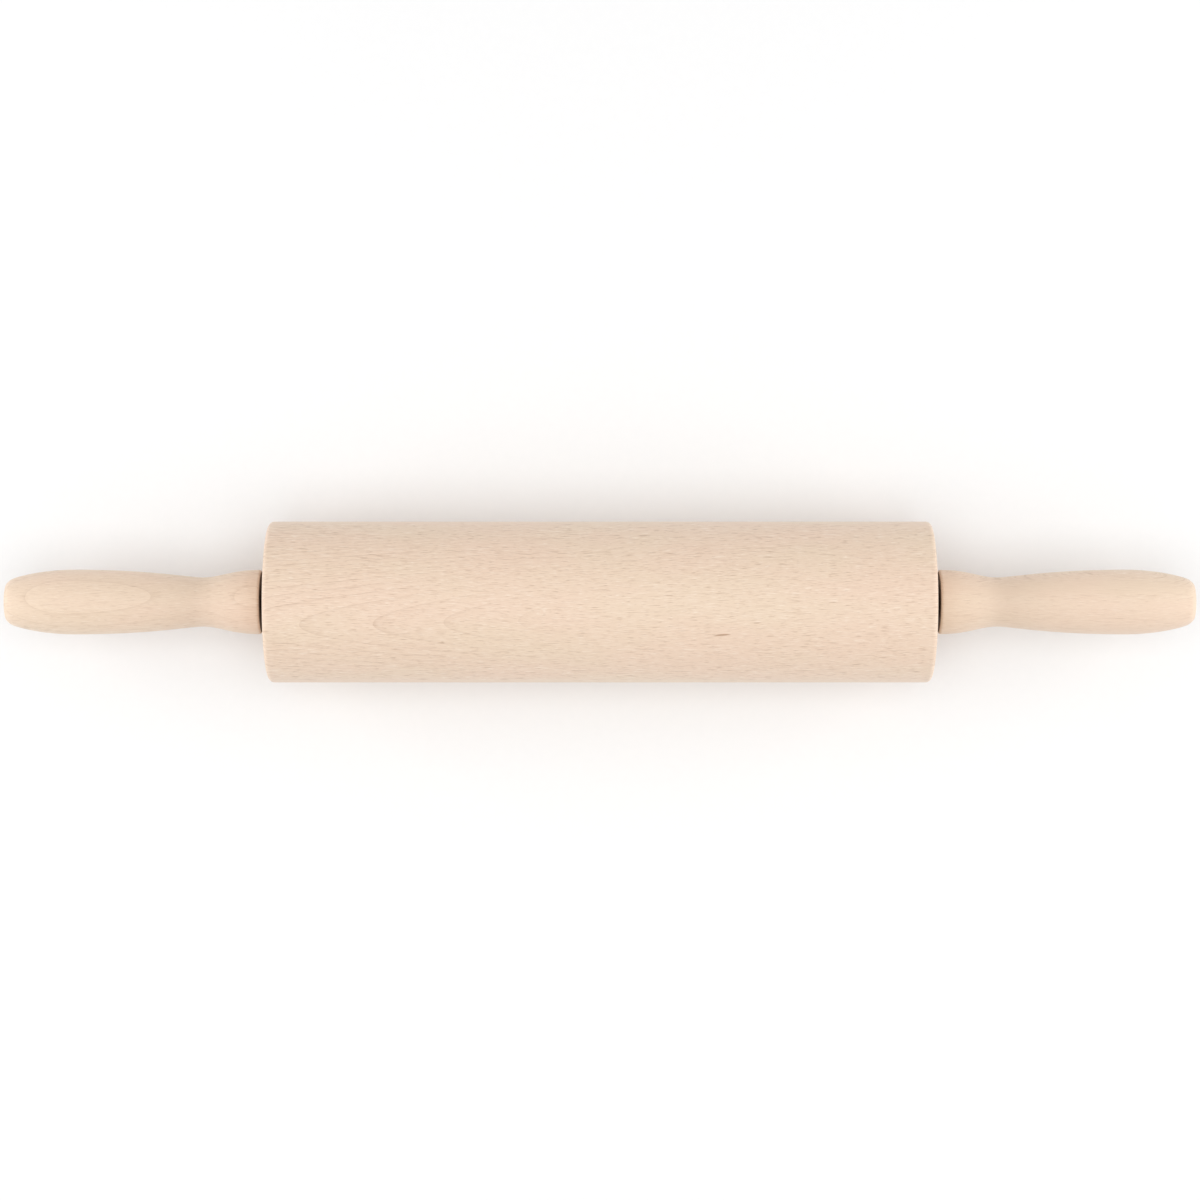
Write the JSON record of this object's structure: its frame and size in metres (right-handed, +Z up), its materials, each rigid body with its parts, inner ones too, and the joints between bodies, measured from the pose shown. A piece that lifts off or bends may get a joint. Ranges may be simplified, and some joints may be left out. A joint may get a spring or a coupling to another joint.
{
  "type": "rolling pin",
  "caption": "Beech rolling pin: a round-edged wooden barrel that turns on shielded ball bearings, on a steel axle between waisted turned handles.",
  "frame": {"origin": "the middle of the barrel, on the axle's axis", "axes": "+X along the axle towards the right handle, +Z up, away from the worktop that the barrel lies on"},
  "size_m": [0.4426, 0.06, 0.06],
  "materials": {
    "barrel_beech": "pale unoiled beech, fine sanded, satin",
    "handle_beech": "pale unoiled beech, fine sanded, satin",
    "axle_steel": "drawn bright steel",
    "ring_steel": "ground bearing steel",
    "ball_steel": "polished bearing steel",
    "shield_steel": "pressed sheet steel, satin",
    "cage_nylon": "moulded black nylon",
    "spacer_nylon": "moulded black nylon"
  },
  "bodies": {
    "handle_frame": {"axle": "axle_steel", "left_handle": "handle_beech", "left_spacer": "spacer_nylon", "left_bearing_inner_ring": "ring_steel", "right_handle": "handle_beech", "right_spacer": "spacer_nylon", "right_bearing_inner_ring": "ring_steel"},
    "roller": {"barrel": "barrel_beech", "left_bearing_outer_ring": "ring_steel", "left_bearing_outer_shield": "shield_steel", "left_bearing_inner_shield": "shield_steel", "right_bearing_outer_ring": "ring_steel", "right_bearing_outer_shield": "shield_steel", "right_bearing_inner_shield": "shield_steel"},
    "left_cage": {"left_bearing_cage": "cage_nylon"},
    "left_ball_1": {"left_bearing_ball_1": "ball_steel"},
    "left_ball_2": {"left_bearing_ball_2": "ball_steel"},
    "left_ball_3": {"left_bearing_ball_3": "ball_steel"},
    "left_ball_4": {"left_bearing_ball_4": "ball_steel"},
    "left_ball_5": {"left_bearing_ball_5": "ball_steel"},
    "left_ball_6": {"left_bearing_ball_6": "ball_steel"},
    "left_ball_7": {"left_bearing_ball_7": "ball_steel"},
    "right_cage": {"right_bearing_cage": "cage_nylon"},
    "right_ball_1": {"right_bearing_ball_1": "ball_steel"},
    "right_ball_2": {"right_bearing_ball_2": "ball_steel"},
    "right_ball_3": {"right_bearing_ball_3": "ball_steel"},
    "right_ball_4": {"right_bearing_ball_4": "ball_steel"},
    "right_ball_5": {"right_bearing_ball_5": "ball_steel"},
    "right_ball_6": {"right_bearing_ball_6": "ball_steel"},
    "right_ball_7": {"right_bearing_ball_7": "ball_steel"}
  },
  "joints": [
    {"name": "barrel_spin", "type": "hinge", "parent": "handle_frame", "child": "roller", "pos_m": [0, 0, 0], "axis": [1, 0, 0], "continuous": true},
    {"name": "left_cage_spin", "type": "hinge", "parent": "handle_frame", "child": "left_cage", "pos_m": [-0.1192, 0, 0], "axis": [1, 0, 0], "continuous": true},
    {"name": "left_ball_1_spin", "type": "hinge", "parent": "left_cage", "child": "left_ball_1", "pos_m": [-0.1192, -0.0075, 0], "axis": [1, 0, 0], "continuous": true},
    {"name": "left_ball_2_spin", "type": "hinge", "parent": "left_cage", "child": "left_ball_2", "pos_m": [-0.1192, -0.00468, 0.00586], "axis": [1, 0, 0], "continuous": true},
    {"name": "left_ball_3_spin", "type": "hinge", "parent": "left_cage", "child": "left_ball_3", "pos_m": [-0.1192, 0.00167, 0.00731], "axis": [1, 0, 0], "continuous": true},
    {"name": "left_ball_4_spin", "type": "hinge", "parent": "left_cage", "child": "left_ball_4", "pos_m": [-0.1192, 0.00676, 0.00325], "axis": [1, 0, 0], "continuous": true},
    {"name": "left_ball_5_spin", "type": "hinge", "parent": "left_cage", "child": "left_ball_5", "pos_m": [-0.1192, 0.00676, -0.00325], "axis": [1, 0, 0], "continuous": true},
    {"name": "left_ball_6_spin", "type": "hinge", "parent": "left_cage", "child": "left_ball_6", "pos_m": [-0.1192, 0.00167, -0.00731], "axis": [1, 0, 0], "continuous": true},
    {"name": "left_ball_7_spin", "type": "hinge", "parent": "left_cage", "child": "left_ball_7", "pos_m": [-0.1192, -0.00468, -0.00586], "axis": [1, 0, 0], "continuous": true},
    {"name": "right_cage_spin", "type": "hinge", "parent": "handle_frame", "child": "right_cage", "pos_m": [0.1192, 0, 0], "axis": [1, 0, 0], "continuous": true},
    {"name": "right_ball_1_spin", "type": "hinge", "parent": "right_cage", "child": "right_ball_1", "pos_m": [0.1192, 0.0075, 0], "axis": [1, 0, 0], "continuous": true},
    {"name": "right_ball_2_spin", "type": "hinge", "parent": "right_cage", "child": "right_ball_2", "pos_m": [0.1192, 0.00468, 0.00586], "axis": [1, 0, 0], "continuous": true},
    {"name": "right_ball_3_spin", "type": "hinge", "parent": "right_cage", "child": "right_ball_3", "pos_m": [0.1192, -0.00167, 0.00731], "axis": [1, 0, 0], "continuous": true},
    {"name": "right_ball_4_spin", "type": "hinge", "parent": "right_cage", "child": "right_ball_4", "pos_m": [0.1192, -0.00676, 0.00325], "axis": [1, 0, 0], "continuous": true},
    {"name": "right_ball_5_spin", "type": "hinge", "parent": "right_cage", "child": "right_ball_5", "pos_m": [0.1192, -0.00676, -0.00325], "axis": [1, 0, 0], "continuous": true},
    {"name": "right_ball_6_spin", "type": "hinge", "parent": "right_cage", "child": "right_ball_6", "pos_m": [0.1192, -0.00167, -0.00731], "axis": [1, 0, 0], "continuous": true},
    {"name": "right_ball_7_spin", "type": "hinge", "parent": "right_cage", "child": "right_ball_7", "pos_m": [0.1192, 0.00468, -0.00586], "axis": [1, 0, 0], "continuous": true}
  ],
  "couplings": [
    {"joint": "left_cage_spin", "follows": "barrel_spin", "ratio": 0.6323},
    {"joint": "left_ball_1_spin", "follows": "barrel_spin", "ratio": 1.7573},
    {"joint": "left_ball_2_spin", "follows": "barrel_spin", "ratio": 1.7573},
    {"joint": "left_ball_3_spin", "follows": "barrel_spin", "ratio": 1.7573},
    {"joint": "left_ball_4_spin", "follows": "barrel_spin", "ratio": 1.7573},
    {"joint": "left_ball_5_spin", "follows": "barrel_spin", "ratio": 1.7573},
    {"joint": "left_ball_6_spin", "follows": "barrel_spin", "ratio": 1.7573},
    {"joint": "left_ball_7_spin", "follows": "barrel_spin", "ratio": 1.7573},
    {"joint": "right_cage_spin", "follows": "barrel_spin", "ratio": 0.6323},
    {"joint": "right_ball_1_spin", "follows": "barrel_spin", "ratio": 1.7573},
    {"joint": "right_ball_2_spin", "follows": "barrel_spin", "ratio": 1.7573},
    {"joint": "right_ball_3_spin", "follows": "barrel_spin", "ratio": 1.7573},
    {"joint": "right_ball_4_spin", "follows": "barrel_spin", "ratio": 1.7573},
    {"joint": "right_ball_5_spin", "follows": "barrel_spin", "ratio": 1.7573},
    {"joint": "right_ball_6_spin", "follows": "barrel_spin", "ratio": 1.7573},
    {"joint": "right_ball_7_spin", "follows": "barrel_spin", "ratio": 1.7573}
  ]
}
